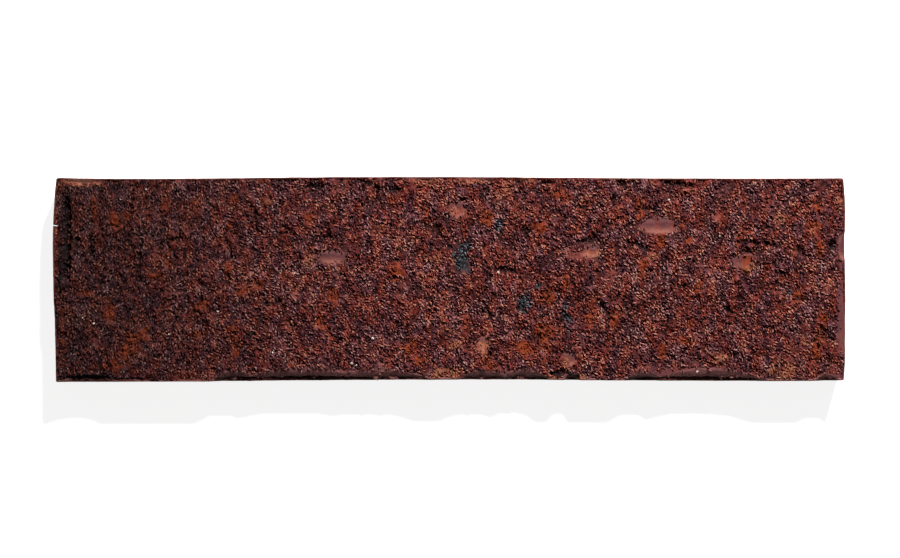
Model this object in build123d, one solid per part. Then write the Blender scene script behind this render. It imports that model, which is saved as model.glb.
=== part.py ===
from build123d import *
import os
from math import atan2, cos, hypot, radians, sin

# A clinker brick slip: one fired piece of clay, extruded with a keyed back and
# then torn rough on its face. Millimetres. It lies on its back with the face up.
# X runs along the slip, Y across it, and the origin is the middle of the back.

# Overall size
slip_length = 250.0
slip_height = 65.0
slip_thickness = 14.0

# The die gives the face a slight crown, so its long edges lie lower than its middle
face_crown = 0.4

# Dovetail grooves along the back, which key the slip to its adhesive: as many as
# leave the outer grooves this much solid clay beside them
groove_depth = 1.6
groove_mouth = 3.8
groove_flare = 0.5
groove_pitch = 9.6
groove_edge_land = 5.0
groove_floor_round = 0.4
back_edge_chamfer = 0.5

# Corners and arrises worn round in making and firing
corner_round = 0.6
face_arris_round = 0.5

# How far each side of the outline lies inside the overall size, because the clay
# moved in drying and firing: pairs of (share along the side, inset), read from
# the left on the two bed sides and from the bottom on the two ends
lower_bed_insets = [(0.0, 0.05), (0.3, 0.45), (0.56, 0.8), (0.8, 0.4), (1.0, 0.5)]
upper_bed_insets = [(0.0, 0.3), (0.12, 0.6), (0.37, 0.0), (0.7, 0.35), (1.0, 0.4)]
left_end_insets = [(0.0, 0.9), (0.2, 0.7), (0.7, 0.0), (1.0, 1.1)]
right_end_insets = [(0.0, 0.5), (0.35, 0.0), (0.68, 0.25), (0.84, 0.15), (1.0, 0.8)]

# Stretches where the wet arris was rolled over: (share along the side from the
# left or the bottom, length, width of the rolled skin, drop to its ledge)
lower_rolls = [
    (0.042, 19.0, 2.4, 1.8),
    (0.226, 17.0, 3.6, 2.6),
    (0.316, 46.0, 4.2, 2.9),
    (0.412, 36.0, 3.6, 2.5),
    (0.542, 20.0, 3.0, 2.3),
    (0.595, 19.0, 4.0, 2.9),
    (0.655, 9.5, 3.2, 2.8),
    (0.745, 15.0, 3.2, 2.5),
    (0.828, 40.0, 4.2, 2.9),
    (0.978, 10.0, 1.9, 1.5),
]
upper_rolls = [
    (0.040, 15.0, 2.4, 1.5),
    (0.467, 12.0, 1.3, 0.9),
    (0.533, 15.0, 1.7, 1.1),
    (0.597, 5.0, 1.1, 0.8),
]
left_rolls = [(0.240, 20.0, 1.6, 0.9)]
right_rolls = [
    (0.250, 22.0, 1.7, 1.0),
    (0.665, 12.0, 2.2, 1.3),
]
ledge_width = 0.5
roll_entry = 10.0

# A fold pressed in along the left end: (share from the bottom, distance in from
# the end, length, width, depth)
left_folds = [(0.690, 3.9, 36.0, 3.4, 1.3)]

# Smooth dents pressed into the open face: (share of the length, share of the
# height, both from the bottom left corner, length, width, depth)
face_dents = [
    (0.511, 0.850, 7.4, 6.4, 0.9),
    (0.576, 0.955, 4.6, 4.0, 0.7),
    (0.762, 0.760, 16.0, 5.6, 0.8),
    (0.680, 0.635, 8.0, 4.2, 0.7),
    (0.542, 0.190, 5.4, 5.0, 0.7),
    (0.652, 0.120, 6.4, 5.2, 0.8),
    (0.352, 0.610, 15.0, 5.0, 0.7),
    (0.868, 0.590, 9.0, 5.8, 0.6),
    (0.520, 0.560, 6.0, 8.0, 0.5),
]
roundest_ring = 1.5

# A drying crack that runs in from the left end, through the thickness
crack_share = 0.766
crack_length = 1.7
crack_mouth = 0.7


def corner(end_sign, bed_sign):
    """A corner of the outline, set in as its end and its bed side say there."""
    end_insets = right_end_insets if end_sign > 0 else left_end_insets
    bed_insets = upper_bed_insets if bed_sign > 0 else lower_bed_insets
    end_inset = end_insets[-1 if bed_sign > 0 else 0][1]
    bed_inset = bed_insets[-1 if end_sign > 0 else 0][1]
    return Vector(
        end_sign * (slip_length / 2 - end_inset),
        bed_sign * (slip_height / 2 - bed_inset),
    )


def bed_side(bed_sign, insets):
    """The lower or upper side of the outline, from left to right."""
    middle = [
        Vector((share - 0.5) * slip_length, bed_sign * (slip_height / 2 - inset))
        for share, inset in insets[1:-1]
    ]
    return Spline(corner(-1, bed_sign), *middle, corner(1, bed_sign))


def end_side(end_sign, insets):
    """The left or right end of the outline, from bottom to top."""
    middle = [
        Vector(end_sign * (slip_length / 2 - inset), (share - 0.5) * slip_height)
        for share, inset in insets[1:-1]
    ]
    return Spline(corner(end_sign, -1), *middle, corner(end_sign, 1))


def groove_profile():
    """One dovetail groove, its mouth on the back and its floor rounded."""
    half_mouth = groove_mouth / 2
    half_floor = half_mouth + groove_flare
    profile = Polygon(
        (-half_mouth, -groove_depth),
        (half_mouth, -groove_depth),
        (half_mouth, 0),
        (half_floor, groove_depth),
        (-half_floor, groove_depth),
        (-half_mouth, 0),
        align=None,
    )
    floor_corners = profile.vertices().sort_by(Axis.Y)[-2:]
    return fillet(floor_corners, groove_floor_round)


def section():
    """The extruded section: crowned face above, chamfered edges and grooves below."""
    half_height = slip_height / 2
    shoulder = slip_thickness - face_crown
    body = make_face(
        Polyline(
            (-half_height, shoulder),
            (-half_height, back_edge_chamfer),
            (-half_height + back_edge_chamfer, 0),
            (half_height - back_edge_chamfer, 0),
            (half_height, back_edge_chamfer),
            (half_height, shoulder),
        )
        + ThreePointArc(
            (half_height, shoulder), (0, slip_thickness), (-half_height, shoulder)
        )
    )
    floor_width = groove_mouth + 2 * groove_flare
    spread = slip_height - 2 * groove_edge_land - floor_width
    groove_count = int(spread / groove_pitch) + 1
    grooves = GridLocations(groove_pitch, 1, groove_count, 1) * groove_profile()
    return body - grooves


def extruded_bar():
    """The section run along X, a little longer than the slip on each side."""
    return extrude(Plane.YZ * section(), slip_length, both=True)


def outline_prism(sides):
    """The slip's outline seen from above, as a block to trim the bar with."""
    prism = extrude(make_face(sides), slip_thickness * 2, both=True)
    return fillet(prism.edges().filter_by(Axis.Z), corner_round)


def ring_cutter(foot, along, length, width, depth):
    """A ring that dips into the clay at foot, as long, wide and deep as stated."""
    across_radius = width**2 / (8 * depth) + depth / 2
    along_radius = length**2 / (8 * depth) + depth / 2
    lift = Vector(0, 0, 1)
    if along_radius < roundest_ring * across_radius:
        return Pos(foot + lift * (across_radius - depth)) * Sphere(across_radius)
    centre = foot + lift * (along_radius - depth)
    stand = Plane(centre, x_dir=along, z_dir=along.cross(lift))
    return stand * Torus(along_radius - across_radius, across_radius)


def face_level(y):
    """Height of the crowned face at a distance from the slip's middle line."""
    return slip_thickness - face_crown * (2 * y / slip_height) ** 2


def roll_cutter(arris, along, outward, length, width, drop):
    """What leaves the arris when it is rolled over, down to a narrow ledge.

    The rolled skin is an arc that leaves the face at roll_entry and drops to the
    ledge. The bar that shapes it bends away from the clay towards both ends, so the
    roll runs out into the plain arris there. The block starts at the arc's top, which
    is above the face, so its inner side cuts nothing.
    """
    reach = width + ledge_width
    start = arris - outward * reach
    level = face_level(start.Y)
    corner_point = Vector(arris.X, arris.Y, level)
    slope = radians(roll_entry)
    turn = atan2(drop, width) - slope
    radius = hypot(width, drop) / (2 * sin(turn))
    inward = reach + radius * sin(slope)
    below = radius * cos(slope)
    bar_middle = corner_point - outward * inward - Vector(0, 0, below)
    bend = hypot(inward, below) - radius
    lift = (corner_point - bar_middle).normalized()
    ring_radius = length**2 / (8 * bend) + bend / 2
    stand = Plane(bar_middle + lift * ring_radius, x_dir=along, z_dir=along.cross(lift))
    bar = stand * Torus(ring_radius, radius)
    beyond = slip_thickness
    frame = Plane(corner_point - Vector(0, 0, drop), x_dir=along, z_dir=Vector(0, 0, 1))
    side = 1 if frame.y_dir.dot(outward) > 0 else -1
    block = frame * Pos(0, side * (beyond - inward) / 2, (drop + beyond) / 2)
    return block * Box(length, inward + beyond, drop + beyond) - bar


def arris_rolls(edge, outward, rolls):
    """The roll cutters for one side, each following the side's line."""
    cutters = []
    for share, length, width, drop in rolls:
        along = edge % share
        arris = edge @ share
        cutters.append(roll_cutter(arris, along, outward, length, width, drop))
    return cutters


def fold_cutters(edge, outward):
    """The ring cutters for the folds along an end."""
    cutters = []
    for share, inset, length, width, depth in left_folds:
        foot = edge @ share - outward * inset
        foot = Vector(foot.X, foot.Y, face_level(foot.Y))
        cutters.append(ring_cutter(foot, edge % share, length, width, depth))
    return cutters


def dent_cutters():
    """The ring or ball cutters for the dents in the open face."""
    cutters = []
    for share_x, share_y, length, width, depth in face_dents:
        y = (share_y - 0.5) * slip_height
        foot = Vector((share_x - 0.5) * slip_length, y, face_level(y))
        along = Vector(1, 0, 0) if length > width else Vector(0, 1, 0)
        long_side, short_side = max(length, width), min(length, width)
        cutters.append(ring_cutter(foot, along, long_side, short_side, depth))
    return cutters


def crack_cutter(left_edge):
    """A thin wedge for the drying crack, as wide as its mouth where it meets the end."""
    mouth = left_edge @ crack_share
    wedge = Polygon(
        (-crack_length, crack_mouth),
        (crack_length, 0),
        (-crack_length, -crack_mouth),
        align=None,
    )
    return Pos(mouth.X, mouth.Y) * extrude(wedge, slip_thickness * 2, both=True)


def brick_slip():
    """The whole slip: trimmed bar, rounded arris, rolls, fold, dents and crack."""
    lower = bed_side(-1, lower_bed_insets)
    upper = bed_side(1, upper_bed_insets)
    left = end_side(-1, left_end_insets)
    right = end_side(1, right_end_insets)
    slip = extruded_bar() & outline_prism([lower, right, upper, left])
    face = slip.faces().sort_by(Axis.Z)[-1]
    slip = fillet(face.edges(), face_arris_round)
    cutters = [
        *arris_rolls(lower, Vector(0, -1, 0), lower_rolls),
        *arris_rolls(upper, Vector(0, 1, 0), upper_rolls),
        *arris_rolls(left, Vector(-1, 0, 0), left_rolls),
        *arris_rolls(right, Vector(1, 0, 0), right_rolls),
        *fold_cutters(left, Vector(-1, 0, 0)),
        *dent_cutters(),
        crack_cutter(left),
    ]
    for cutter in cutters:
        slip -= cutter
    middle = slip.bounding_box().center()
    return Pos(-middle.X, -middle.Y) * slip


os.makedirs("parts", exist_ok=True)
export_step(brick_slip(), "parts/brick_slip.step")
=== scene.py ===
import math

import bpy
import numpy as np
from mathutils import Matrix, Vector


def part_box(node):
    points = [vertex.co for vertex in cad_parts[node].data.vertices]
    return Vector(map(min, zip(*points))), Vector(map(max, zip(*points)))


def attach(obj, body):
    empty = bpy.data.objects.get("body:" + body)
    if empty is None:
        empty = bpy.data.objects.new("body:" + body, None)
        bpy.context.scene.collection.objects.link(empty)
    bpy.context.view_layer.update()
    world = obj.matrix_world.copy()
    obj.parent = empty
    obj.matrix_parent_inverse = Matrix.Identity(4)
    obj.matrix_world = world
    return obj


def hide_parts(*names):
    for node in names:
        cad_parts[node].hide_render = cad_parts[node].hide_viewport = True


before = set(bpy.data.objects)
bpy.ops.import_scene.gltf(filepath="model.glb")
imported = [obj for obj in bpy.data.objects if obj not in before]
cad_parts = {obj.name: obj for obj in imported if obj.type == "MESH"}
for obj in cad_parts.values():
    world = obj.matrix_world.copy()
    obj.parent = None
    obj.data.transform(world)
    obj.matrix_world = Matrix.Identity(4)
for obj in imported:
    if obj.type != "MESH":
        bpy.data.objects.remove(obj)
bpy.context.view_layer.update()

mm = 0.001
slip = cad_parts["brick_slip"]
low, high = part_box("brick_slip")

# The face as it leaves the die, in mm. What lies below it was rolled, dented or folded
face = {
    "top": high.z / mm,
    "halfHeight": 32.5,
    "crown": 0.4,
}

even = (1.0, 1.0, 1.0)

# Noises in the clay: width in mm, detail and roughness, then the stretch and the shift of some.
# clods and crumbs are lumps, with a width and a stretch
noises = {
    "swell": (20.0, 2.0, 0.5),
    "heave": (6.0, 3.0, 0.6, even, 1.7),
    "clods": (2.6, (1.0, 1.25, 1.0)),
    "crumbs": (1.2, even),
    "grit": (0.7, 2.0, 0.6, even, 4.4),
    "gully": (4.2, 3.0, 0.55, (0.6, 1.8, 1.0), 6.3),
    "sideWave": (9.0, 3.0, 0.55, even, 9.1),
    "sideGrit": (1.4, 3.0, 0.6, even, 2.2),
    "outline": (1.6, 3.0, 0.6),
    "brokenLip": (4.0, 2.0, 0.5, even, 17.0),
    "smear": (6.0, 2.0, 0.5, (1.6, 0.8, 1.0), 3.1),
    "rustDrift": (3.0, 3.0, 0.6, (0.6, 2.4, 1.0), 7.7),
    "rustSpread": (12.0, 2.0, 0.5, even, 2.9),
    "clumps": (3.4, 2.0, 0.5, even),
    "fine": (0.8, 4.0, 0.65),
    "patch": (8.0, 3.0, 0.55, (1.0, 1.4, 1.0), 5.0),
    "mottle": (3.2, 2.0, 0.5, (0.9, 1.2, 1.0), 14.0),
    "glow": (5.0, 3.0, 0.6, (0.7, 1.5, 1.0), 21.0),
    "pores": (0.35, 2.0, 0.6),
    "tint": (1.3, 2.0, 0.6, even, 11.0),
    "streaks": (0.8, 3.0, 0.6, (18.0, 18.0, 1.0), 4.0),
    "scorch": (22.0, 3.0, 0.6, even, 8.0),
    "grain": (1.1, 3.0, 0.7, even, 19.0),
    "veins": (0.3, 2.0, 0.6),
}


# Helpers for node trees: put adds a node, and links or sets its inputs

def setInputs(tree, node, wires):
    for socket, value in wires.items():
        if isinstance(value, bpy.types.NodeSocket):
            tree.links.new(value, node.inputs[socket])
        else:
            node.inputs[socket].default_value = value


def put(tree, kind, wires=None, **settings):
    node = tree.nodes.new(kind)
    for name, value in settings.items():
        setattr(node, name, value)
    setInputs(tree, node, wires or {})
    return node


def maths(tree, operation, first, second=0.0, clamp=False):
    return put(tree, "ShaderNodeMath", {0: first, 1: second}, operation=operation, use_clamp=clamp).outputs[0]


def times(tree, *values):
    product = values[0]
    for value in values[1:]:
        product = maths(tree, "MULTIPLY", product, value)
    return product


def plus(tree, *values):
    total = values[0]
    for value in values[1:]:
        total = maths(tree, "ADD", total, value)
    return total


def less(tree, first, second):
    return maths(tree, "SUBTRACT", first, second)


def rest(tree, value):
    return maths(tree, "SUBTRACT", 1.0, value, clamp=True)


def most(tree, *values):
    top = values[0]
    for value in values[1:]:
        top = maths(tree, "MAXIMUM", top, value)
    return top


def joined(tree, operation, first, second):
    return put(tree, "ShaderNodeVectorMath", {0: first, 1: second}, operation=operation).outputs[0]


def scaled(tree, vector, factor):
    return put(tree, "ShaderNodeVectorMath", {0: vector, "Scale": factor}, operation="SCALE").outputs[0]


def stretched(tree, vector, size, stretch):
    return joined(tree, "DIVIDE", vector, [size * share for share in stretch])


def ramp(tree, value, start, end, first=0.0, last=1.0):
    wires = {"Value": value, "From Min": start, "From Max": end, "To Min": first, "To Max": last}
    return put(tree, "ShaderNodeMapRange", wires, interpolation_type="SMOOTHSTEP").outputs[0]


def cloud(tree, place, size, detail, rough, stretch=even, shift=0.0):
    away = (shift, shift * 0.7, shift * 1.3)
    moved = joined(tree, "ADD", stretched(tree, place, size, stretch), away)
    return put(tree, "ShaderNodeTexNoise", {
        "Vector": moved, "Scale": 1.0, "Detail": detail, "Roughness": rough,
    }).outputs[0]


def noise(tree, place, name):
    return cloud(tree, place, *noises[name])


def lumps(tree, place, name):
    size, stretch = noises[name]
    return put(tree, "ShaderNodeTexVoronoi", {
        "Vector": stretched(tree, place, size, stretch), "Scale": 1.0,
    }).outputs["Distance"]


def axis(tree, vector, name):
    return put(tree, "ShaderNodeSeparateXYZ", {0: vector}).outputs[name]


def position(tree):
    return tree.nodes.new("GeometryNodeInputPosition").outputs[0]


def fitted(tree, geometry):
    inside = joined(tree, "MINIMUM", joined(tree, "MAXIMUM", position(tree), low), high)
    return put(tree, "GeometryNodeSetPosition", {"Geometry": geometry, "Position": inside}).outputs[0]


def newGroup(name, kind, inputs, outputs):
    tree = bpy.data.node_groups.new(name, kind)
    for socket, typed in inputs:
        tree.interface.new_socket(name=socket, in_out="INPUT", socket_type=typed)
    for socket, typed in outputs:
        tree.interface.new_socket(name=socket, in_out="OUTPUT", socket_type=typed)
    return tree, tree.nodes.new("NodeGroupInput"), tree.nodes.new("NodeGroupOutput")


def geometryGroup(name):
    sockets = [("Geometry", "NodeSocketGeometry")]
    return newGroup(name, "GeometryNodeTree", sockets, sockets)


def takeUp(piece):
    bpy.ops.object.select_all(action="DESELECT")
    piece.select_set(True)
    bpy.context.view_layer.objects.active = piece


def applyNodes(piece, tree):
    takeUp(piece)
    modifier = piece.modifiers.new(tree.name, "NODES")
    modifier.node_group = tree
    bpy.ops.object.modifier_apply(modifier=modifier.name)


# Marks on the face, in mm from the slip's middle: x, y, half length, half width, turn
marks = {
    "rust": [
        (-89.8, 23.5, 0.9, 2.6, 0), (-80.0, 23.0, 1.0, 2.4, 0), (-105.4, 18.2, 2.0, 3.0, 0),
        (-101.4, 20.2, 1.4, 2.4, 0), (-67.8, 25.2, 1.6, 1.4, 0), (-68.7, 17.2, 1.0, 1.6, 0),
        (-111.9, 22.3, 1.0, 5.0, 0), (-88.8, 6.2, 1.0, 4.0, 0), (-92.8, 1.2, 4.0, 1.2, 0),
        (-69.8, 3.2, 1.5, 3.0, 0), (-60.2, -1.3, 1.8, 3.4, 15), (-65.2, -3.8, 3.4, 1.4, 30),
        (-78.3, -8.4, 4.6, 1.6, 45), (-79.8, -17.4, 2.8, 1.4, 10), (-69.5, -15.9, 1.4, 2.4, 0),
        (-99.9, -20.4, 6.2, 2.6, 50), (-96.8, -17.0, 2.4, 2.0, 0), (-109.4, -27.4, 2.4, 1.2, 0),
        (-104.9, -27.4, 1.6, 2.4, 0), (-106.9, -10.9, 1.8, 4.6, 0), (-121.9, -15.8, 0.7, 8.0, 0),
        (-113.9, -4.4, 2.6, 1.2, 0), (-67.0, -20.9, 1.4, 2.8, 0), (-44.5, 19.8, 1.4, 3.4, 20),
        (-18.7, 25.2, 1.0, 1.8, 0), (-16.7, 2.7, 1.8, 3.2, 0), (-7.4, 19.7, 1.5, 4.0, 0),
        (11.9, 19.2, 2.2, 2.8, 0), (-36.5, -5.4, 1.6, 3.8, 15), (-40.8, -13.4, 1.5, 3.4, 15),
        (-38.0, -16.4, 1.2, 2.4, 15), (-1.7, -4.4, 0.9, 0.9, 0), (5.4, -13.9, 0.9, 3.4, 0),
        (-12.2, -20.9, 3.2, 2.6, 20), (-9.7, -25.4, 1.8, 1.4, 0), (12.4, -25.8, 2.2, 3.2, 0),
        (31.0, -5.6, 3.4, 3.6, 0), (30.0, -18.0, 3.2, 5.0, 0), (24.0, -22.0, 3.6, 3.0, 0),
        (29.0, 16.0, 2.6, 1.8, 0), (36.8, -1.4, 1.0, 3.2, 0), (44.0, -12.4, 1.6, 3.4, 0),
        (60.2, 22.3, 1.1, 4.2, 0), (66.6, 12.2, 1.9, 2.3, 0), (75.4, 12.2, 1.1, 1.4, 0),
        (60.9, 4.2, 1.4, 2.4, 0), (78.7, -2.8, 1.5, 2.4, 0), (93.5, 5.2, 1.6, 3.0, 0),
        (116.3, 22.7, 2.6, 2.8, 0), (114.8, 16.2, 2.2, 2.2, 0), (116.8, 10.2, 1.3, 2.4, 0),
        (109.8, -5.4, 1.3, 2.8, 0), (52.1, -12.9, 1.5, 3.4, 0), (67.1, -23.4, 1.0, 3.4, 0),
        (73.7, -18.9, 2.6, 1.6, 0), (76.2, -13.4, 1.2, 1.8, 0), (117.8, -12.4, 1.5, 3.0, 0),
        (116.8, -18.4, 1.8, 2.8, 0), (116.0, -22.9, 1.5, 3.0, 0), (35.6, 26.8, 3.0, 1.6, 170),
    ],
    # Partly tan clay, partly painted highlight: strips on the upper arris and the lower walls of dents, which
    # face the light, are painted tan
    "tan": [
        (-116.4, 30.5, 8.2, 1.3, 0), (-8.5, 30.9, 5.0, 1.1, 0), (8.0, 31.0, 5.4, 1.0, 0),
        (2.6, 21.5, 2.4, 1.8, 0), (18.6, 29.0, 1.6, 2.4, 0), (24.9, 31.6, 1.8, 0.6, 0),
        (-21.7, 15.7, 1.8, 1.4, 0), (-6.7, 6.9, 1.6, 1.2, 0), (-3.2, 7.2, 1.2, 1.6, 0),
        (-44.5, 6.2, 2.0, 1.8, 0), (2.1, -20.9, 2.2, 1.4, 0), (10.6, -21.8, 2.0, 2.6, 0),
        (-0.2, -15.9, 2.4, 0.7, 150), (-1.1, -29.9, 4.6, 2.0, 0), (105.9, -28.9, 7.2, 2.4, 0),
        (36.5, -26.8, 1.6, 2.8, 0), (33.0, -31.4, 2.6, 0.9, 160), (41.5, -31.2, 1.8, 1.2, 0),
        (45.0, 8.4, 2.8, 1.0, 0), (43.0, 25.2, 2.2, 1.4, 0), (64.1, 7.2, 2.4, 1.0, 0),
        (104.0, 19.5, 2.2, 1.3, 160), (114.4, 15.2, 1.2, 1.2, 0), (84.7, -24.6, 2.6, 1.6, 0),
        (111.7, -18.9, 2.6, 0.9, 150), (95.0, 3.6, 2.0, 1.6, 0), (122.8, 24.6, 1.6, 2.8, 0),
        (-123.9, 17.0, 0.5, 10.0, 0), (-56.9, 24.8, 2.6, 1.0, 0),
    ],
    "slag": [
        (4.0, 6.9, 2.8, 4.8, 0), (5.6, 10.8, 1.7, 2.2, 0), (23.6, -6.9, 2.1, 3.4, 0),
        (36.4, -8.4, 1.4, 1.6, 0), (37.2, -12.4, 1.7, 2.8, 12), (28.2, -2.2, 1.6, 1.1, 20),
        (15.6, 17.4, 1.4, 2.8, 0), (-94.8, -6.1, 0.7, 0.7, 0), (106.8, -4.1, 0.9, 0.9, 0),
    ],
    "smooth": [
        (15.9, 24.2, 2.8, 1.6, 0), (24.9, 24.0, 3.8, 1.6, 0), (86.2, 27.4, 3.6, 2.2, 0),
        (-31.8, 9.7, 4.6, 1.3, 0), (-38.0, 7.2, 4.0, 1.0, 0), (68.0, 19.0, 6.4, 1.4, 0),
        (67.5, 16.2, 6.6, 1.8, 0), (2.6, 22.4, 2.6, 2.8, 0), (44.0, 10.6, 3.6, 1.6, 0),
        (27.0, 9.6, 3.0, 1.2, 0), (10.4, -21.4, 2.4, 3.0, 0), (36.8, -26.4, 2.6, 3.4, 0),
        (0.9, -18.9, 3.2, 1.3, 0), (95.0, 6.4, 2.6, 3.4, 0), (78.7, 3.4, 2.6, 2.2, 0),
        (84.7, -24.4, 3.0, 1.9, 0), (107.8, -25.6, 4.6, 1.8, 0), (113.3, -14.8, 2.4, 2.0, 0),
        (119.8, -27.9, 3.2, 1.6, 0), (117.8, 17.7, 1.8, 1.6, 0), (122.8, -13.4, 1.4, 8.0, 0),
        (123.0, 10.0, 1.2, 7.0, 0), (-117.5, -13.3, 2.4, 1.4, 0), (-22.5, -27.0, 4.0, 1.6, 10),
        (59.1, -23.3, 1.9, 1.9, 0), (-66.0, 27.8, 4.6, 1.2, 0), (88.7, 29.6, 2.4, 1.0, 0),
        (63.0, -27.6, 3.6, 1.4, 0), (75.0, -26.4, 4.0, 1.2, 0),
    ],
    "skin": [
        (-40.0, -30.6, 35.0, 2.4, 0), (18.5, -30.8, 15.6, 2.1, 0), (77.3, -30.2, 20.8, 2.7, 0),
        (-114.3, -31.2, 9.6, 1.5, 0), (120.4, -31.0, 4.8, 1.6, 0), (123.4, -12.0, 1.6, 16.0, 0),
        (123.6, 8.0, 1.2, 8.0, 0),
    ],
    # Painted shadow: dark lines along the fold at the left end and along the upper and lower arrises
    "shadowLine": [
        (-120.6, 20.6, 1.2, 9.4, 178), (-121.3, 7.0, 0.9, 8.0, 175), (-122.6, -3.0, 0.5, 5.6, 0),
        (-113.6, 32.3, 5.4, 0.6, 0), (-6.0, 32.4, 3.8, 0.6, 0), (10.2, 32.4, 3.4, 0.6, 0),
        (-115.0, -31.3, 11.6, 0.9, 0), (-102.0, -31.9, 3.4, 0.5, 0), (-62.0, -31.9, 4.0, 0.5, 0),
        (-40.0, -31.8, 16.0, 0.6, 0), (16.0, -31.9, 12.0, 0.5, 0), (77.0, -31.9, 18.0, 0.6, 0),
    ],
    # Creases are sunk into the clay and also painted dark, as painted shade
    "crease": [
        (-24.6, 30.0, 5.6, 0.8, 160), (-16.6, 28.6, 2.6, 0.7, 10), (-42.5, 29.3, 4.2, 0.8, 0),
        (73.0, 29.9, 6.4, 0.8, 175), (54.1, 30.5, 2.8, 0.9, 0), (62.6, 22.4, 2.6, 1.0, 0),
        (24.4, 14.8, 1.8, 1.2, 0), (99.0, 11.4, 8.0, 0.7, 176), (60.2, 10.7, 3.4, 0.8, 160),
        (72.7, -1.9, 3.6, 0.8, 0), (-3.7, 15.2, 1.6, 2.0, 0), (17.8, 3.2, 4.4, 0.8, 175),
        (-61.0, 20.0, 0.7, 3.6, 0), (94.0, 8.9, 3.0, 1.1, 0), (120.4, 11.0, 1.2, 1.6, 0),
        (-37.6, 13.6, 3.6, 0.6, 12), (44.2, 12.2, 3.0, 0.9, 0), (4.4, 25.2, 1.6, 0.5, 20),
        (36.6, -29.4, 3.6, 0.9, 0), (-86.0, 12.8, 3.6, 0.7, 8), (-69.6, 10.6, 0.7, 4.4, 20),
        (12.0, -10.6, 3.0, 0.6, 150), (-52.0, -9.0, 0.6, 3.0, 25), (88.0, -9.4, 3.4, 0.6, 150),
        (105.2, 1.6, 3.2, 0.7, 160), (31.6, 30.4, 3.2, 0.7, 0), (-97.4, 8.4, 0.6, 4.6, 0),
        (103.0, -14.6, 2.6, 0.7, 20), (48.4, -8.2, 0.7, 3.0, 30), (-112.6, 10.4, 0.7, 4.0, 0),
    ],
}

# How far the noise tears the outline of each kind of mark
raggedness = {
    "rust": 1.0,
    "tan": 1.0,
    "slag": 1.0,
    "smooth": 1.0,
    "crease": 1.0,
    "skin": 0.25,
    "shadowLine": 0.5,
}

# How the clay is torn, pressed and worn, in mm: the heights of its noises and marks
clay = {
    "voxel": 0.46,
    "swell": 0.7,
    "heave": 1.4,
    "clods": 0.8,
    "crumbs": 0.6,
    "grit": 0.3,
    "gully": 0.7,
    "creaseDepth": 0.7,
    "slagDepth": 0.4,
    "lipRise": 0.8,
    "settle": 0.8,
    "sideWave": 0.3,
    "sideGrit": 0.14,
    "sideSettle": 0.14,
}

# Where a mask begins and where it is whole, in mm from the slip's middle or up from its back
zones = {
    "face": (5.0, 7.0),
    "leftThird": (-55.0, -95.0),
    "nearArris": (24.0, 27.0),
    "lowArris": (-24.0, -27.0),
    "lowLedge": (-31.0, -31.4),
    "bedRim": (31.2, 31.9),
    "endRim": (123.6, 124.4),
    "leftRim": (-123.6, -124.4),
    "bedSide": (30.8, 31.4),
    "endSide": (123.6, 124.1),
    "backEdge": (0.2, 2.5),
    "overGrooves": (2.5, 4.0),
    "fold": (-115.0, -118.0),
    "foldFoot": (-6.0, -2.0),
    "foldHead": (29.0, 26.0),
    "pastCrack": (-123.4, -122.6),
    "grooveFoot": (0.1, 0.4),
    "grooveFloor": (2.4, 1.8),
    "bedded": (31.0, 30.0),
    "inward": (123.9, 122.9),
    "shaded": (-128.0, -8.0),
}

# The same for depths below the face, in mm
depths = {
    "rolled": (0.2, 0.7),
    "sooty": (0.7, 1.2),
    "ledge": (0.9, 1.4),
    "rubbed": (-0.5, 0.5),
}

# The same for how upright the skin is, which is 1 where it faces straight up
slopes = {
    "face": (0.2, 0.6),
    "ledge": (0.6, 0.72),
    "scoop": (0.7, 0.58),
    "standing": (0.7, 0.95),
}


def markGroup():
    tree, start, end = newGroup(
        "mark", "GeometryNodeTree",
        [("Place", "NodeSocketVector"), ("Tear", "NodeSocketFloat"), ("Middle", "NodeSocketVector"),
         ("Half", "NodeSocketVector"), ("Turn", "NodeSocketFloat")],
        [("Mask", "NodeSocketFloat")],
    )
    wires = start.outputs
    turned = put(tree, "ShaderNodeVectorRotate", {
        "Vector": joined(tree, "SUBTRACT", wires["Place"], wires["Middle"]),
        "Angle": times(tree, wires["Turn"], -1.0),
    }, rotation_type="Z_AXIS").outputs[0]
    shares = joined(tree, "DIVIDE", turned, wires["Half"])
    far = put(tree, "ShaderNodeVectorMath", {0: shares}, operation="LENGTH").outputs["Value"]
    tree.links.new(ramp(tree, plus(tree, far, wires["Tear"]), 1.25, 0.55), end.inputs["Mask"])
    return tree


def marked(tree, place, tear, group, kind):
    spots = []
    for x, y, long, wide, turn in marks[kind]:
        spot = put(tree, "GeometryNodeGroup", {
            "Place": place, "Tear": tear, "Middle": (x, y, 0.0), "Half": (long, wide, 1e6),
            "Turn": math.radians(turn),
        }, node_tree=group)
        spots.append(spot.outputs[0])
    return most(tree, *spots)


def store(tree, geometry, name, value):
    return put(tree, "GeometryNodeStoreNamedAttribute", {
        "Geometry": geometry, "Name": name, "Value": value,
    }, data_type="FLOAT", domain="POINT").outputs[0]


# A wave about 0, as high as the clay says
def wave(tree, place, name):
    return times(tree, less(tree, noise(tree, place, name), 0.5), clay[name])


def lumpy(tree, place, name):
    return times(tree, less(tree, rest(tree, lumps(tree, place, name)), 0.5), clay[name])


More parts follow.
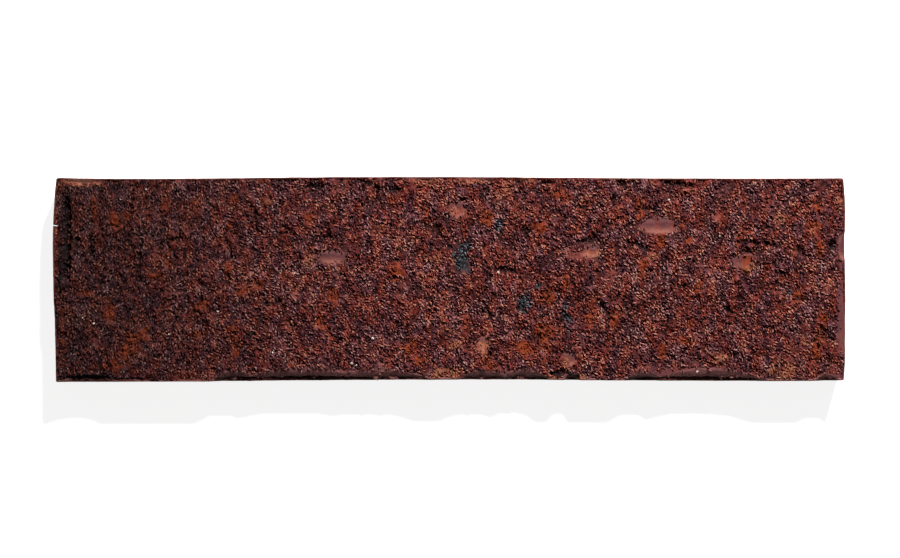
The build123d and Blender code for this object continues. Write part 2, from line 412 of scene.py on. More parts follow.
# How a point of the skin lies: where, how upright, how far below the face, and on which part
def readLie(tree, place, normal):
    x, y, z = (axis(tree, place, name) for name in "XYZ")
    upright = axis(tree, normal, "Z")
    share = maths(tree, "DIVIDE", y, face["halfHeight"])
    level = less(tree, face["top"], times(tree, share, share, face["crown"]))
    sunk = less(tree, level, z)
    ledge = times(
        tree, ramp(tree, sunk, *depths["ledge"]), ramp(tree, y, *zones["lowLedge"]),
        ramp(tree, upright, *slopes["ledge"]))
    broken = ramp(tree, noise(tree, place, "brokenLip"), 0.5, 0.58)
    return {
        "x": x,
        "y": y,
        "z": z,
        "along": maths(tree, "ABSOLUTE", x),
        "across": maths(tree, "ABSOLUTE", y),
        "upright": upright,
        "sunk": sunk,
        "ledge": ledge,
        "lip": times(tree, ledge, broken),
        "face": times(tree, ramp(tree, upright, *slopes["face"]), ramp(tree, z, *zones["face"])),
        "left": ramp(tree, x, *zones["leftThird"]),
        "ragged": times(tree, less(tree, noise(tree, place, "outline"), 0.5), 3.2),
    }


# Furrows that the clay was dragged along, aslant everywhere but at the left end
def gullies(tree, place, lie):
    dragged = put(tree, "ShaderNodeVectorRotate", {
        "Vector": place, "Angle": ramp(tree, lie["left"], 0.0, 1.0, math.radians(-40), 0.0),
    }, rotation_type="Z_AXIS").outputs[0]
    bed = maths(tree, "ABSOLUTE", less(tree, noise(tree, dragged, "gully"), 0.5))
    return ramp(tree, bed, 0.035, 0.0)


# Clay that was pressed smooth or still has its skin, so that little stands on it
def bareClay(tree, place, lie, masks):
    y, sunk, crease, skin = lie["y"], lie["sunk"], masks["crease"], masks["skin"]
    folded = times(
        tree, ramp(tree, lie["x"], *zones["fold"]), ramp(tree, y, *zones["foldFoot"]),
        ramp(tree, y, *zones["foldHead"]))
    shallow = ramp(tree, y, *zones["lowArris"], 0.15, 0.04)      # the depth that counts as pressed
    pressed = times(
        tree, ramp(tree, sunk, shallow, times(tree, shallow, 3.4)),
        rest(tree, times(tree, crease, 2.0)), rest(tree, folded))
    smear = ramp(tree, noise(tree, place, "smear"), 0.62, 0.72)
    rubbed = ramp(tree, plus(tree, sunk, times(tree, lie["ragged"], 0.5)), *depths["rubbed"])
    crumbly = times(tree, masks["tan"], ramp(tree, lie["across"], *zones["nearArris"], 0.1, 1.0))
    rim = most(tree, ramp(tree, lie["x"], *zones["leftRim"]), ramp(tree, y, *zones["bedRim"]))
    return times(
        tree, most(tree, pressed, skin, times(tree, masks["smooth"], 0.85), times(tree, smear, 0.7)),
        most(tree, rubbed, skin), rest(tree, crumbly), rest(tree, times(tree, rim, 0.8)))


def drawMasks(tree, place, lie):
    group = markGroup()
    masks = {
        kind: marked(tree, place, times(tree, lie["ragged"], part), group, kind)
        for kind, part in raggedness.items()
    }
    # Shadow lines are painted dark together with the creases
    masks["crease"] = most(tree, masks["crease"], masks["shadowLine"])
    rusting = times(
        tree, ramp(tree, noise(tree, place, "rustDrift"), 0.56, 0.72),
        ramp(tree, noise(tree, place, "rustSpread"), 0.35, 0.6), 0.8)
    masks["rust"] = most(tree, masks["rust"], rusting)
    masks["gully"] = gullies(tree, place, lie)
    masks["bare"] = bareClay(tree, place, lie, masks)
    masks["rough"] = rest(tree, masks["bare"])
    # Painted shadow: the bottom of the rolled lower arris, which turns away from the light, is painted dark,
    # its lip left out
    rolled = times(tree, ramp(tree, lie["sunk"], *depths["rolled"]), ramp(tree, lie["y"], *zones["lowArris"]))
    masks["soot"] = times(
        tree, rolled, ramp(tree, lie["sunk"], *depths["sooty"]),
        most(tree, ramp(tree, lie["upright"], *slopes["scoop"]), lie["ledge"]), rest(tree, lie["lip"]))
    return masks


def liftFace(tree, place, lie, masks):
    heave = wave(tree, place, "heave")
    grit = wave(tree, place, "grit")
    rough = masks["rough"]
    torn = times(tree, plus(tree, lumpy(tree, place, "clods"), lumpy(tree, place, "crumbs")), rough)
    lifted = plus(
        tree, wave(tree, place, "swell"), torn, times(tree, heave, plus(tree, 0.25, rough)),
        times(tree, grit, plus(tree, 0.2, rough)), times(tree, masks["crease"], -clay["creaseDepth"]),
        times(tree, masks["gully"], rough, -clay["gully"]),
        times(tree, masks["slag"], -clay["slagDepth"]), times(tree, lie["lip"], clay["lipRise"]),
        -clay["settle"])
    relief = plus(
        tree, torn, times(tree, heave, plus(tree, 0.1, times(tree, rough, 0.5))),
        times(tree, masks["crease"], -0.5), times(tree, masks["gully"], rough, -0.3),
        times(tree, masks["bare"], 0.1))
    return lifted, relief


# The sides have a low relief, which stays out of the grooves
def liftSides(tree, place, lie):
    side = plus(
        tree, wave(tree, place, "sideWave"), wave(tree, place, "sideGrit"), -clay["sideSettle"])
    outside = most(
        tree, ramp(tree, lie["across"], *zones["bedSide"]), ramp(tree, lie["along"], *zones["endSide"]))
    return times(
        tree, side, ramp(tree, lie["z"], *zones["backEdge"]),
        most(tree, outside, ramp(tree, lie["z"], *zones["overGrooves"])))


# Where crumbs may stand: torn clay that faces up, and the broken lip, clear of the crack
def openClay(tree, lie, masks):
    beside = maths(tree, "ABSOLUTE", less(tree, lie["y"], crack["place"][1]))
    whole = most(tree, ramp(tree, beside, *crack["clear"]), ramp(tree, lie["x"], *zones["pastCrack"]))
    standing = times(
        tree, ramp(tree, lie["upright"], *slopes["standing"]), lie["face"], plus(tree, 0.06, masks["rough"]),
        rest(tree, times(tree, masks["crease"], 0.6)))
    return times(tree, most(tree, standing, lie["lip"]), whole)


def tearingNodes():
    tree, start, end = geometryGroup("tearFace")
    place = scaled(tree, position(tree), 1 / mm)
    normal = tree.nodes.new("GeometryNodeInputNormal").outputs[0]
    lie = readLie(tree, place, normal)
    masks = drawMasks(tree, place, lie)
    lifted, relief = liftFace(tree, place, lie, masks)
    onSide = liftSides(tree, place, lie)
    offset = put(tree, "ShaderNodeMix", {0: lie["face"], 2: onSide, 3: lifted}, data_type="FLOAT").outputs[0]
    ends = ramp(tree, lie["along"], *zones["endRim"], 0.0, 0.4)
    stored = {
        "bare": masks["bare"],
        "rust": masks["rust"],
        "slag": masks["slag"],
        # The lip, which lies in shadow, is also painted partly tan, as painted light
        "tan": most(tree, masks["tan"], times(tree, lie["lip"], 0.4)),
        "relief": relief,
        "torn": lie["face"],
        # Painted shade: how dark the materials paint the creases, the shadow lines and the bottom of the roll
        "crease": most(tree, times(tree, masks["crease"], 0.8), masks["soot"]),
        # facing drives the painted light on the bare skin
        "facing": axis(tree, normal, "Y"),
        "left": lie["left"],
        "edge": most(tree, lie["lip"], ends, ramp(tree, lie["across"], *zones["bedRim"])),
        "open": openClay(tree, lie, masks),
    }
    geometry = start.outputs["Geometry"]
    for name, value in stored.items():
        geometry = store(tree, geometry, name, value)
    moved = put(tree, "GeometryNodeSetPosition", {
        "Geometry": geometry, "Offset": scaled(tree, normal, times(tree, offset, mm)),
    }).outputs[0]
    tree.links.new(fitted(tree, moved), end.inputs["Geometry"])
    return tree


def fireBody():
    body = bpy.data.objects.new("firedClay", slip.data.copy())
    bpy.context.scene.collection.objects.link(body)
    takeUp(body)
    bpy.ops.object.mode_set(mode="EDIT")
    bpy.ops.mesh.select_all(action="SELECT")
    bpy.ops.mesh.remove_doubles(threshold=1e-6)
    bpy.ops.object.mode_set(mode="OBJECT")
    skin = body.modifiers.new("skin", "REMESH")
    skin.mode = "VOXEL"
    skin.voxel_size = clay["voxel"] * mm
    bpy.ops.object.modifier_apply(modifier=skin.name)
    print("skin", len(body.data.polygons), "faces")
    openCrack(body)
    applyNodes(body, tearingNodes())
    print("face torn")
    thinOut(body)
    mapBody(body)
    takeUp(body)
    bpy.ops.object.shade_smooth()
    return body


# The drying crack in the left end, in mm. clear is how far beside it the crumbs begin
crack = {
    "place": (-126.0, 17.05),
    "length": 2.9,
    "halfWidth": 0.4,
    "tip": 0.05,
    "clear": (0.6, 1.0),
}


def openCrack(body):
    x, y = crack["place"]
    middle = (x + crack["length"] / 2) * mm
    bpy.ops.object.select_all(action="DESELECT")
    bpy.ops.mesh.primitive_cube_add(
        size=1.0, location=(middle, y * mm, high.z / 2),
        scale=(crack["length"] * mm, crack["halfWidth"] * 2 * mm, high.z * 2))
    wedge = bpy.context.object
    bpy.ops.object.transform_apply(location=True, rotation=True, scale=True)
    for corner in wedge.data.vertices:
        corner.select = corner.co.x > middle
    for side in wedge.data.polygons:
        side.select = all(wedge.data.vertices[i].select for i in side.vertices)
    bpy.ops.object.mode_set(mode="EDIT")
    bpy.ops.transform.resize(
        value=(1.0, crack["tip"], 1.0), center_override=((x + crack["length"]) * mm, y * mm, high.z / 2))
    bpy.ops.object.mode_set(mode="OBJECT")
    takeUp(body)
    cut = body.modifiers.new("crack", "BOOLEAN")
    cut.operation = "DIFFERENCE"
    cut.object = wedge
    bpy.ops.object.modifier_apply(modifier=cut.name)
    bpy.data.objects.remove(wedge)
    print("crack opened", len(body.data.polygons), "triangles")


# Where each side of the body lies on its colour map, in pixels of a map 1024 across: the first
# corner, and pixels to the mm. The face is cut in two, and its halves lie one above the other
bodyMap = {
    "faceLeft": (2, 2, 6.0),
    "faceRight": (2, 396, 6.0),
    "endLeft": (760, 2, 4.0),
    "endRight": (830, 2, 4.0),
    "bedLow": (2, 790, 4.0),
    "bedHigh": (2, 850, 4.0),
    "back": (2, 910, 1.7),
}
mapPixels = 1024
mapHalf = (125.1, 32.6)              # half the slip's length and height, with a margin, in mm
mapGrooves = (123.0, 30.5, 2.5)      # the grooves lie within this, in mm along, across and up
mapBackDepth = 0.4


def mapBody(body):
    mesh = body.data
    corners, starts = readFaces(mesh)
    normals = np.empty(len(mesh.polygons) * 3, np.float32)
    mesh.polygons.foreach_get("normal", normals)
    normals = np.abs(normals.reshape(-1, 3))
    spots = readPoints(mesh)[corners] / mm
    torn = np.maximum.reduceat(readPoints(mesh, "torn")[corners], starts) > 0.5
    middles = np.add.reduceat(spots, starts) / 3
    back = ~torn & ((middles[:, 2] < mapBackDepth) | (np.abs(middles) < mapGrooves).all(1))
    side = ~torn & ~back
    end = side & (normals[:, 0] > normals[:, 1])
    right = middles[:, 0] >= 0
    upper = middles[:, 1] > 0
    x, y, z = spots.T
    along = x + mapHalf[0]
    across = y + mapHalf[1]
    regions = [
        ("faceLeft", torn & ~right, along, across),
        ("faceRight", torn & right, x, across),
        ("back", back, along, across),
        ("endLeft", end & ~right, z, across),
        ("endRight", end & right, z, across),
        ("bedLow", side & ~end & ~upper, along, z),
        ("bedHigh", side & ~end & upper, along, z),
    ]
    places = np.zeros((len(corners), 2), np.float32)
    for name, faces, toRight, toTop in regions:
        left, bottom, dense = bodyMap[name]
        picked = np.repeat(faces, 3)
        places[picked, 0] = left + toRight[picked] * dense
        places[picked, 1] = bottom + toTop[picked] * dense
    layer = mesh.uv_layers.new(name="OFBake")
    layer.uv.foreach_set("vector", (places / mapPixels).ravel())
    print("body mapped")


def readFaces(mesh):
    corners = np.empty(len(mesh.loops), np.int32)
    mesh.loops.foreach_get("vertex_index", corners)
    starts = np.empty(len(mesh.polygons), np.int32)
    mesh.polygons.foreach_get("loop_start", starts)
    return corners, starts


def readPoints(mesh, name=None):
    count = len(mesh.vertices)
    if name:
        values = np.empty(count, np.float32)
        mesh.attributes[name].data.foreach_get("value", values)
        return values
    values = np.empty(count * 3, np.float32)
    mesh.vertices.foreach_get("co", values)
    return values.reshape(count, 3)


def pickFaces(body, picked):
    mesh = body.data
    takeUp(body)
    bpy.ops.object.mode_set(mode="EDIT")
    bpy.ops.mesh.select_all(action="DESELECT")
    bpy.ops.object.mode_set(mode="OBJECT")
    corners, starts = readFaces(mesh)
    mesh.polygons.foreach_set("select", np.minimum.reduceat(picked[corners], starts))
    mesh.vertices.foreach_set("select", picked)


# What is thinned, in mm: the grooves and the back are flattened where they bend by less than
# backFlat, in degrees, and above sidesFrom the sides keep a share of their faces
thinning = {
    "grooves": (123.4, 30.6, 2.4),
    "backDepth": 0.1,
    "backFlat": 6.0,
    "sidesFrom": 2.2,
    "untorn": 0.02,
    "keptOnSides": 0.24,
}


def thinOut(body):
    mesh = body.data
    x, y, z = np.abs(readPoints(mesh).T)
    along, across, deep = (reach * mm for reach in thinning["grooves"])
    inGrooves = (x < along) & (y < across) & (z < deep)
    pickFaces(body, inGrooves | (z < thinning["backDepth"] * mm))
    bpy.ops.object.mode_set(mode="EDIT")
    bpy.ops.mesh.dissolve_limited(angle_limit=math.radians(thinning["backFlat"]))
    bpy.ops.object.mode_set(mode="OBJECT")
    print("back flattened to", len(mesh.polygons), "faces")
    untorn = readPoints(mesh, "torn") < thinning["untorn"]
    pickFaces(body, untorn & (readPoints(mesh)[:, 2] > thinning["sidesFrom"] * mm))
    bpy.ops.object.mode_set(mode="EDIT")
    bpy.ops.mesh.decimate(ratio=thinning["keptOnSides"])
    bpy.ops.mesh.select_all(action="SELECT")
    bpy.ops.mesh.quads_convert_to_tris()
    bpy.ops.object.mode_set(mode="OBJECT")
    mesh.vertices.foreach_set("co", np.clip(readPoints(mesh), low, high).ravel())
    print("thinned to", len(mesh.polygons), "triangles")


# Crumbs that the tearing left standing: half sizes in mm along, across and up. At most perSquare
# of them stand on a square mm, apart keeps the large ones that far from each other, and span is
# the stretch of the slip they are on
crumbs = {
    "left": {"name": "crumbsLeft", "perSquare": 6.0, "apart": 0.73, "smallest": (0.38, 0.22, 0.34),
             "largest": (0.84, 0.34, 0.7), "lift": 0.12, "seed": 3, "span": (-126.0, 0.0)},
    "right": {"name": "crumbsRight", "perSquare": 6.0, "apart": 0.75, "smallest": (0.39, 0.23, 0.34),
              "largest": (0.88, 0.36, 0.72), "lift": 0.12, "seed": 5, "span": (0.0, 126.0)},
    "medium": {"name": "crumbsMedium", "perSquare": 0.52, "apart": 0.0, "smallest": (0.26, 0.2, 0.24),
               "largest": (0.55, 0.34, 0.45), "lift": 0.08, "seed": 21, "span": (-126.0, 126.0)},
    "fine": {"name": "crumbsFine", "perSquare": 0.52, "apart": 0.0, "smallest": (0.16, 0.13, 0.15),
             "largest": (0.36, 0.24, 0.3), "lift": 0.06, "seed": 8, "span": (-126.0, 126.0)},
}
tilt = 0.6       # how far a crumb may lean, in radians
swing = 0.9      # how far it may turn from the way that the clay was dragged
draggedTo = (-50, -90)      # that way, in degrees: over most of the slip, and at its left end


def named(tree, name):
    return put(tree, "GeometryNodeInputNamedAttribute", {"Name": name}, data_type="FLOAT").outputs[0]


def strewNodes(look, body):
    tree, start, end = geometryGroup("strew_" + look["name"])
    seed = look["seed"]
    source = put(tree, "GeometryNodeObjectInfo", {"Object": body}).outputs["Geometry"]
    place = scaled(tree, position(tree), 1 / mm)
    clumps = ramp(tree, cloud(tree, place, *noises["clumps"], seed), 0.3, 0.5, 0.3, 1.0)
    amount = times(tree, named(tree, "open"), rest(tree, times(tree, named(tree, "rust"), 0.5)), clumps)
    x = axis(tree, place, "X")
    first, last = look["span"]
    within = times(tree, maths(tree, "GREATER_THAN", x, first), maths(tree, "LESS_THAN", x, last))
    share = times(tree, amount, within)
    density = look["perSquare"] / mm**2
    if look["apart"]:
        method = "POISSON"
        amounts = {"Density Factor": share, "Density Max": density, "Distance Min": look["apart"] * mm}
    else:
        method = "RANDOM"
        amounts = {"Density": times(tree, share, density)}
    points = put(tree, "GeometryNodeDistributePointsOnFaces", {
        "Mesh": source, "Seed": seed, **amounts,
    }, distribute_method=method)
    tint = put(tree, "FunctionNodeRandomValue", {"Seed": seed + 1}, data_type="FLOAT").outputs[1]
    raised = put(tree, "GeometryNodeSetPosition", {
        "Geometry": store(tree, points.outputs["Points"], "tint", tint),
        "Offset": scaled(tree, points.outputs["Normal"], look["lift"] * mm),
    }).outputs[0]
    sizes = put(tree, "FunctionNodeRandomValue", {
        "Min": [size * mm for size in look["smallest"]],
        "Max": [size * mm for size in look["largest"]],
        "Seed": seed + 2,
    }, data_type="FLOAT_VECTOR").outputs[0]
    lean = put(tree, "FunctionNodeRandomValue", {
        "Min": (-tilt, -tilt, -swing), "Max": (tilt, tilt, swing), "Seed": seed + 5,
    }, data_type="FLOAT_VECTOR").outputs[0]
    dragged = ramp(tree, named(tree, "left"), 0.0, 1.0, *(math.radians(way) for way in draggedTo))
    turn = joined(tree, "ADD", lean, put(tree, "ShaderNodeCombineXYZ", {2: dragged}).outputs[0])
    smaller = scaled(tree, sizes, less(tree, 1.0, times(tree, named(tree, "edge"), 0.45)))
    strewn = put(tree, "GeometryNodeInstanceOnPoints", {
        "Points": raised, "Instance": start.outputs["Geometry"], "Rotation": turn, "Scale": smaller,
    }).outputs[0]
    whole = put(tree, "GeometryNodeRealizeInstances", {"Geometry": strewn}).outputs[0]
    tree.links.new(fitted(tree, whole), end.inputs["Geometry"])
    return tree


def strewCrumbs(kind, body):
    look = crumbs[kind]
    bpy.ops.object.select_all(action="DESELECT")
    bpy.ops.mesh.primitive_ico_sphere_add(subdivisions=1, radius=1.0)
    crumb = bpy.context.object
    crumb.name = look["name"]
    bpy.ops.object.mode_set(mode="EDIT")
    bpy.ops.mesh.select_all(action="SELECT")
    bpy.ops.transform.vertex_random(offset=0.4, seed=look["seed"])
    bpy.ops.mesh.normals_make_consistent(inside=False)
    bpy.ops.object.mode_set(mode="OBJECT")
    curl = crumb.modifiers.new("curl", "SIMPLE_DEFORM")
    curl.deform_method = "BEND"
    curl.deform_axis = "Z"
    curl.angle = math.radians(80)
    bpy.ops.object.modifier_apply(modifier=curl.name)
    rise = crumb.data.attributes.new("rise", "FLOAT", "POINT")       # 0 at a crumb's root, 1 at its tip
    rise.data.foreach_set("value", readPoints(crumb.data)[:, 2] * 0.5 + 0.5)
    corners = len(crumb.data.loops)
    mapCrumb(crumb)
    applyNodes(crumb, strewNodes(look, body))
    spreadMaps(crumb, corners)
    print(look["name"], len(crumb.data.polygons), "triangles")
    return crumb


# How one crumb lies on its own cell of the colour map, in shares of the cell
crumbMap = {
    "upper": 0.75,
    "lower": 0.25,
    "wide": 0.3,
    "tall": 0.15,
    "margin": 0.02,
}


def mapCrumb(crumb):
    layer = crumb.data.uv_layers.new(name="OFBake")
    for side in crumb.data.polygons:
        middle = crumbMap["upper" if side.normal.z > 0 else "lower"]
        for corner in side.loop_indices:
            spot = crumb.data.vertices[crumb.data.loops[corner].vertex_index].co
            layer.uv[corner].vector = (
                0.5 + crumbMap["wide"] * spot.x, middle + crumbMap["tall"] * spot.y)


def spreadMaps(crumb, corners):
    layer = crumb.data.uv_layers["OFBake"]
    places = np.empty(len(crumb.data.loops) * 2, np.float32)
    layer.uv.foreach_get("vector", places)
    places = places.reshape(-1, corners, 2)
    across = int(np.ceil(np.sqrt(len(places))))
    number = np.arange(len(places))
    cells = np.stack([number % across, number // across], 1)[:, None, :]
    inside = places.clip(crumbMap["margin"], 1 - crumbMap["margin"])
    layer.uv.foreach_set("vector", ((inside + cells) / across).ravel())


# Colours as they show in plain light
paints = {
    # shadeBlack is painted shade: the near black that hollows, crumb roots and creases are painted with
    "shadeBlack": "#1f0606",
    "coolDark": "#36131a",
    "cool": "#6a343c",
    "coolPink": "#93595c",
    "coolLight": "#be8c87",
    "warmDark": "#471815",
    "warm": "#853733",
    "warmOrange": "#a85445",
    "warmLight": "#ca836c",
    "base": "#7e2c16",
    "baseDark": "#401312",
    "rust": "#aa4a20",
    "skinLow": "#a06866",
    "skinDark": "#6e3f44",
    "skin": "#74403f",
    "skinRed": "#865049",
    "skinTan": "#a8685a",
    "tan": "#b87453",
    "slagDark": "#0c0c0f",
    "slag": "#2d2d32",
    "slagLight": "#75797f",
    "side": "#6e3a2e",
    "sideDark": "#40201e",
    "sidePale": "#8e5c4c",
    "dust": "#8f7466",
    "quartz": "#f0e4d8",
    "floor": "#f4f4f3",
}


def paint(name):
    code = paints[name].lstrip("#")
    parts = [int(code[i:i + 2], 16) / 255 for i in (0, 2, 4)]
    return [p / 12.92 if p <= 0.04045 else ((p + 0.055) / 1.055) ** 2.4 for p in parts] + [1.0]


def blend(tree, factor, first, second, how="MIX"):
    wires = {0: factor, 6: first, 7: second}
    return put(tree, "ShaderNodeMix", wires, data_type="RGBA", blend_type=how).outputs[2]


def scale(tree, value, stops):
    node = put(tree, "ShaderNodeValToRGB", {0: value})
    bar = node.color_ramp.elements
    while len(bar) < len(stops):
        bar.new(1.0)
    for stop, (position, name) in zip(bar, stops):
        stop.position = position
        stop.color = paint(name)
    return node.outputs[0]


def firedGroup():
    tree, start, end = newGroup(
        "firedClayColours", "ShaderNodeTree",
        [("Place", "NodeSocketVector"), ("Tint", "NodeSocketFloat"), ("PaintedShade", "NodeSocketFloat"),
         ("Ground", "NodeSocketFloat"), ("Bare", "NodeSocketFloat"), ("Facing", "NodeSocketFloat"),
         ("Rust", "NodeSocketFloat"), ("Tan", "NodeSocketFloat"), ("Slag", "NodeSocketFloat")],
        [("Color", "NodeSocketColor"), ("Roughness", "NodeSocketFloat"), ("Height", "NodeSocketFloat")],
    )
    wires = start.outputs
    place = wires["Place"]
    fine = noise(tree, place, "fine")
    gloom = ramp(tree, axis(tree, place, "X"), *zones["shaded"], 0.36, 1.0)
    finer = less(tree, fine, 0.5)
    patchy, mottled = (less(tree, noise(tree, place, name), 0.5) for name in ("patch", "mottle"))
    tone = plus(
        tree, times(tree, wires["Tint"], 0.9), times(tree, finer, 0.7), times(tree, patchy, 0.85),
        times(tree, mottled, 1.05), -0.08)
    glow = plus(tree, noise(tree, place, "glow"), times(tree, less(tree, wires["Tint"], 0.5), 0.12))
    warmth = ramp(tree, glow, 0.44, 0.6)
    cool = scale(tree, tone, [(0.0, "coolDark"), (0.38, "cool"), (0.66, "coolPink"), (0.95, "coolLight")])
    warm = scale(tree, tone, [(0.0, "warmDark"), (0.38, "warm"), (0.66, "warmOrange"), (0.95, "warmLight")])
    standing = blend(tree, warmth, cool, warm)
    under = blend(tree, times(tree, ramp(tree, fine, 0.3, 0.6), warmth), paint("baseDark"), paint("base"))
    colour = blend(tree, wires["Ground"], standing, under)
    # Painted light: bare skin is coloured by which way it faces along y, red to tan where it faces the key
    # light, dark purple where it starts to turn away, and lighter again where it faces straight away down the
    # rolled arris
    lean = plus(tree, wires["Facing"], times(tree, patchy, 0.4), times(tree, finer, 0.3))
    skin = scale(tree, ramp(tree, lean, -0.35, 0.35), [
        (0.0, "skinLow"), (0.3, "skinDark"), (0.55, "skin"), (0.8, "skinRed"), (1.0, "skinTan")])
    colour = blend(tree, times(tree, wires["Bare"], 0.85), colour, skin)
    rusty = blend(tree, ramp(tree, fine, 0.3, 0.7), paint("base"), paint("rust"))
    colour = blend(tree, times(tree, wires["Rust"], ramp(tree, fine, 0.3, 0.6, 0.5, 0.95)), colour, rusty)
    # Tan marks: partly real tan clay, partly painted highlight
    tanned = blend(tree, ramp(tree, tone, 0.1, 0.6), paint("warm"), paint("tan"))
    colour = blend(tree, times(tree, wires["Tan"], ramp(tree, fine, 0.3, 0.6, 0.6, 0.95)), colour, tanned)
    glassy = scale(
        tree, plus(tree, wires["Tint"], finer), [(0.1, "slagDark"), (0.5, "slag"), (1.0, "slagLight")])
    colour = blend(tree, wires["Slag"], colour, glassy)
    # Painted shade: where PaintedShade is high the colour goes to near black, in hollows, at crumb roots, in
    # creases, along shadow lines and down the rolled arris
    colour = blend(tree, wires["PaintedShade"], colour, paint("shadeBlack"))
    gloom = most(tree, gloom, times(tree, wires["Tan"], 0.9), times(tree, wires["Rust"], 0.6))
    shade = put(tree, "ShaderNodeCombineColor", {0: gloom, 1: gloom, 2: gloom}).outputs[0]
    colour = blend(tree, 1.0, colour, shade, "MULTIPLY")
    tree.links.new(colour, end.inputs["Color"])
    tree.links.new(ramp(tree, fine, 0.3, 0.7, 0.5, 0.75), end.inputs["Roughness"])
    bump = plus(tree, fine, times(tree, noise(tree, place, "pores"), 0.5))
    tree.links.new(bump, end.inputs["Height"])
    return tree


def newMaterial(name):
    material = bpy.data.materials.new(name)
    material.use_nodes = True
    tree = material.node_tree
    return material, tree, tree.nodes["Principled BSDF"]


def placeInMm(tree):
    return scaled(tree, tree.nodes.new("ShaderNodeTexCoord").outputs["Object"], 1 / mm)


def attribute(tree, name):
    return put(tree, "ShaderNodeAttribute", attribute_name=name).outputs["Fac"]


def firedColours(tree, group, wires):
    for socket in ("Bare", "Facing", "Rust", "Tan", "Slag"):
        wires[socket] = attribute(tree, socket.lower())
    return put(tree, "ShaderNodeGroup", wires, node_tree=group).outputs


def roughen(tree, shader, height, depth):
    bump = put(tree, "ShaderNodeBump", {"Height": height, "Distance": depth * mm, "Strength": 1.0})
    tree.links.new(bump.outputs[0], shader.inputs["Normal"])


def crumbClay(group):
    material, tree, shader = newMaterial("crumbClay")
    shader.inputs["Specular IOR Level"].default_value = 0.25
    rise = attribute(tree, "rise")
    # Painted light: a crumb is painted lighter towards its tip, and painted shade darkens its root to near
    # black
    tint = plus(tree, attribute(tree, "tint"), ramp(tree, rise, 0.55, 1.0, 0.0, 0.25))
    rootShade = ramp(tree, rise, 0.8, 0.3, 0.0, 0.97)
    fired = firedColours(tree, group, {
        "Place": placeInMm(tree),
        "Tint": tint,
        "PaintedShade": most(tree, rootShade, times(tree, attribute(tree, "crease"), 0.75)),
    })
    tree.links.new(fired["Color"], shader.inputs["Base Color"])
    tree.links.new(fired["Roughness"], shader.inputs["Roughness"])
    roughen(tree, shader, fired["Height"], 0.12)
    return material


def bodyClay(group):
    material, tree, shader = newMaterial("bodyClay")
    shader.inputs["Specular IOR Level"].default_value = 0.15
    place = placeInMm(tree)
    relief = attribute(tree, "relief")
    # Painted shade: the lower the relief, the darker the clay is painted, as though shaded in its hollows
    hollowShade = ramp(tree, relief, 0.0, -0.36, 0.0, 0.95)
    fired = firedColours(tree, group, {
        "Place": place,
        "Tint": noise(tree, place, "tint"),
        "Ground": ramp(tree, relief, 0.25, -0.1),
        "PaintedShade": most(tree, hollowShade, times(tree, attribute(tree, "crease"), 0.92)),
    })
    streaks, scorch, grain = (noise(tree, place, name) for name in ("streaks", "scorch", "grain"))
    tone = plus(tree, times(tree, streaks, 0.45), times(tree, grain, 0.55), less(tree, scorch, 0.5))
    cut = scale(tree, tone, [(0.25, "sideDark"), (0.5, "side"), (0.8, "sidePale")])
    along, across, up = (maths(tree, "ABSOLUTE", axis(tree, place, name)) for name in "XYZ")
    inGroove = times(tree, ramp(tree, up, *zones["grooveFoot"]), ramp(tree, up, *zones["grooveFloor"]))
    bedded = ramp(tree, across, *zones["bedded"])
    inward = ramp(tree, along, *zones["inward"])
    cut = blend(tree, times(tree, inGroove, bedded, inward, 0.7), cut, paint("dust"))
    colour = blend(tree, attribute(tree, "torn"), cut, fired["Color"])
    tree.links.new(colour, shader.inputs["Base Color"])
    tree.links.new(fired["Roughness"], shader.inputs["Roughness"])
    roughen(tree, shader, plus(tree, fired["Height"], times(tree, streaks, 0.6)), 0.2)
    return material


def wear(piece, material):
    piece.data.materials.clear()
    piece.data.materials.append(material)


# Pale quartz in the clay: x, y, half width, in mm
quartz = [
    (-24.1, -18.6, 0.56), (-30.7, -26.4, 0.5), (-29.2, -27.1, 0.34), (15.5, 2.2, 0.5),
    (87.8, 9.7, 0.56), (78.1, -29.0, 0.42), (-111.9, -13.9, 0.38), (-55.6, -23.0, 0.34),
    (-48.7, 1.9, 0.34), (-72.9, -10.1, 0.34), (-88.3, -17.3, 0.34), (-95.5, 28.3, 0.32),
    (69.1, 25.0, 0.4), (85.2, 13.7, 0.34), (118.3, 3.9, 0.22), (42.0, -27.2, 0.3),
    (43.2, -27.6, 0.22), (-63.3, 12.4, 0.2), (-103.4, 25.2, 0.2), (-115.4, -12.1, 0.2),
    (61.1, -3.8, 0.2), (-22.8, -5.8, 0.18), (-88.4, 6.9, 0.18), (33.0, 22.4, 0.2),
]


def setQuartz(body):
    seat = 0.4       # height of a small grain's middle over the torn clay, in mm
    down = Vector((0, 0, -1))
    grains = []
    for index, (x, y, size) in enumerate(quartz):
        spot = body.ray_cast(Vector((x * mm, y * mm, high.z * 2)), down)[1]
        bpy.ops.object.select_all(action="DESELECT")
        height = min(spot.z + (seat + size * 0.8) * mm, high.z - 1.3 * size * mm)
        bpy.ops.mesh.primitive_ico_sphere_add(
            subdivisions=1, radius=size * mm, location=(spot.x, spot.y, height),
            rotation=(index, index * 2.0, 0.0))
        bpy.ops.object.mode_set(mode="EDIT")
        bpy.ops.mesh.select_all(action="SELECT")
        bpy.ops.transform.vertex_random(offset=size * mm * 0.3, seed=index)
        bpy.ops.object.mode_set(mode="OBJECT")
        grains.append(bpy.context.object)
    takeUp(grains[0])
    for grain in grains:
        grain.select_set(True)
    bpy.ops.object.join()
    bpy.ops.object.transform_apply(location=True, rotation=True, scale=True)
    whole = bpy.context.object
    whole.name = "quartzGrains"
    print("quartz", len(quartz), "grains")
    return whole


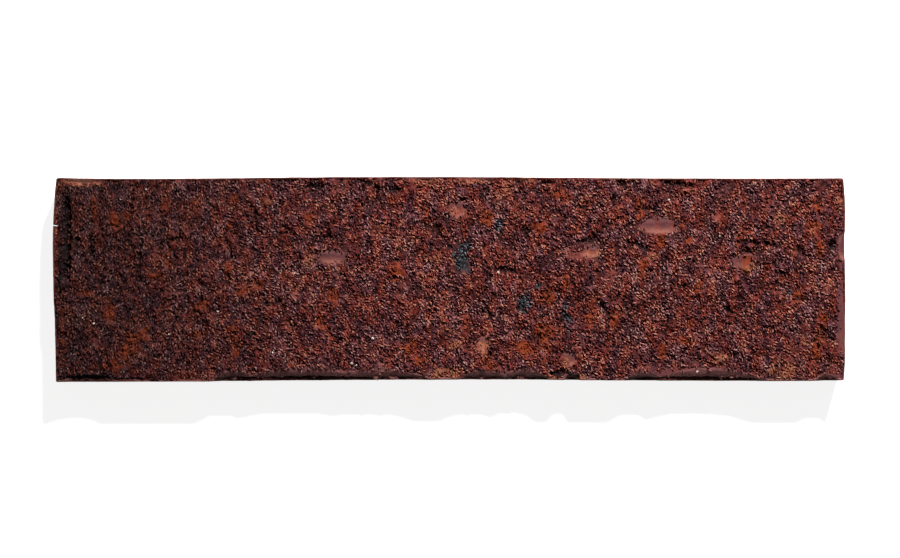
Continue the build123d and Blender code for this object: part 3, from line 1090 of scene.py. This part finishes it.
def quartzMaterial():
    material, tree, shader = newMaterial("quartz")
    veins = noise(tree, placeInMm(tree), "veins")
    colour = blend(tree, ramp(tree, veins, 0.4, 0.7, 0.0, 0.4), paint("quartz"), paint("warmLight"))
    tree.links.new(colour, shader.inputs["Base Color"])
    shader.inputs["Roughness"].default_value = 0.35
    return material


# The photo's framing: mm to one of its pixels, and in pixels its width and how far its middle
# lies from the slip's
photo = {
    "scale": 0.31458,
    "width": 900,
    "middle": (0.75, 0.45),
}

studio = {
    "lens": 100.0,
    "sensor": 36.0,
    "frameWidth": photo["width"] * photo["scale"] * mm,
    "frameMiddle": [shift * photo["scale"] * mm for shift in photo["middle"]],
    "key": {"place": (0.33, 0.92, 0.82), "size": 0.14, "watts": 22.8},
    "fill": {"place": (-0.1, -0.3, 1.4), "size": 1.4, "watts": 0.7},
    "world": 0.04,
    "floorGlow": 0.84,
}


def lampAt(name, look):
    data = bpy.data.lights.new(name, "AREA")
    data.size = look["size"]
    data.energy = look["watts"]
    lamp = bpy.data.objects.new(name, data)
    bpy.context.scene.collection.objects.link(lamp)
    lamp.location = look["place"]
    lamp.rotation_euler = Vector(look["place"]).to_track_quat("Z", "Y").to_euler()


def layFloor():
    bpy.ops.object.select_all(action="DESELECT")
    bpy.ops.mesh.primitive_plane_add(size=6.0)
    floor = bpy.context.object
    floor.name = "floor"
    material, tree, shader = newMaterial("paleFloor")
    shader.inputs["Base Color"].default_value = paint("floor")
    shader.inputs["Roughness"].default_value = 0.9
    shader.inputs["Emission Color"].default_value = (1.0, 1.0, 1.0, 1.0)
    path = tree.nodes.new("ShaderNodeLightPath").outputs
    seen = most(tree, path["Is Camera Ray"], path["Is Glossy Ray"], path["Is Transmission Ray"])
    tree.links.new(times(tree, seen, studio["floorGlow"]), shader.inputs["Emission Strength"])
    wear(floor, material)


def setStudio():
    layFloor()
    for name in ("key", "fill"):
        lampAt(name, studio[name])
    world = bpy.data.worlds.new("studio")
    bpy.context.scene.world = world
    world.use_nodes = True
    sky = world.node_tree.nodes["Background"]
    sky.inputs["Color"].default_value = (1.0, 1.0, 1.0, 1.0)
    sky.inputs["Strength"].default_value = studio["world"]
    data = bpy.data.cameras.new("camera")
    data.lens = studio["lens"]
    data.sensor_width = studio["sensor"]
    distance = studio["frameWidth"] * studio["lens"] / studio["sensor"]
    camera = bpy.data.objects.new("camera", data)
    camera.location = (*studio["frameMiddle"], high.z + distance)
    bpy.context.scene.collection.objects.link(camera)
    bpy.context.scene.camera = camera
    bpy.context.scene.view_settings.view_transform = "Standard"


setStudio()
body = fireBody()
pieces = [body] + [strewCrumbs(kind, body) for kind in crumbs]
group = firedGroup()
crumbMaterial = crumbClay(group)
wear(body, bodyClay(group))
for piece in pieces[1:]:
    wear(piece, crumbMaterial)
quartzGrains = setQuartz(body)
wear(quartzGrains, quartzMaterial())
pieces.append(quartzGrains)
for piece in pieces:
    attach(piece, "root")
    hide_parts("brick_slip")
